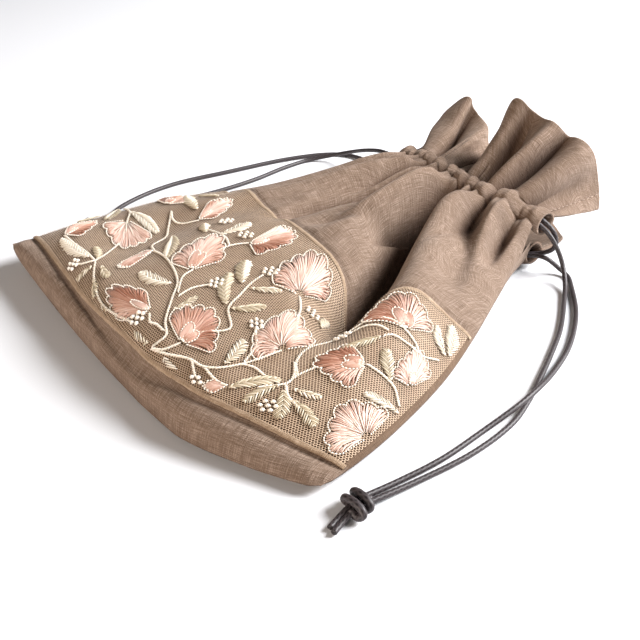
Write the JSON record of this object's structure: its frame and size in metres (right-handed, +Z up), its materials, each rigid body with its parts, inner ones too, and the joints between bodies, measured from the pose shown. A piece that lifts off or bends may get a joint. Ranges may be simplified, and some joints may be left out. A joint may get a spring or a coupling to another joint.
{
  "type": "drawstring pouch",
  "caption": "Linen drawstring pouch lying on its back, with an embroidered net lace band across its front, a gathered frilled mouth and knotted dark cords.",
  "frame": {"origin": "on the surface that the pouch lies on, under the middle of its own outline, without the free cords", "axes": "+Z up from the surface, +Y towards the mouth and its frill, +X along the bottom seam to the right"},
  "size_m": [0.2359, 0.2221, 0.0579],
  "materials": {
    "linen": "plain-woven brown linen with slubs",
    "lace": "beige net with rose, ivory and sage thread embroidery",
    "cord": "waxed dark braid"
  },
  "bodies": {
    "root": {"front_panel": "linen", "back_panel": "linen", "lace_panel": "lace", "casing_front": "linen", "casing_back": "linen", "frill_front": "linen", "frill_back": "linen", "cord_right": "cord", "cord_left": "cord", "knot_right": "cord", "knot_left": "cord"}
  },
  "joints": []
}
